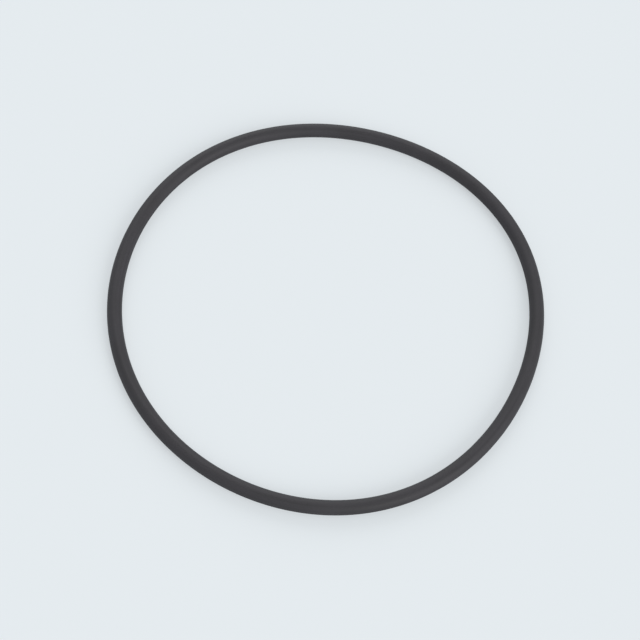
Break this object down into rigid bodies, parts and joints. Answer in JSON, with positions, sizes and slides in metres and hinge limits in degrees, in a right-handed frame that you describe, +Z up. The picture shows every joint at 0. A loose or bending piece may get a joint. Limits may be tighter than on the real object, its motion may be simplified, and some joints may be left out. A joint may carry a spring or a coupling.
{
  "type": "cylinder head gasket ring",
  "caption": "Endless moulded rubber ring of round section that lies in a groove between a cylinder and its head and seals the joint.",
  "frame": {"origin": "middle of the ring, in the plane that it lies on", "axes": "+Z up along the ring's axis; the ring is round, so X and Y are free"},
  "size_m": [0.1072, 0.1072, 0.0036],
  "materials": {
    "nitrile_rubber": "compression-moulded black rubber, matt, with a fine trimmed parting line"
  },
  "bodies": {
    "root": {"sealing_ring": "nitrile_rubber"}
  },
  "joints": []
}
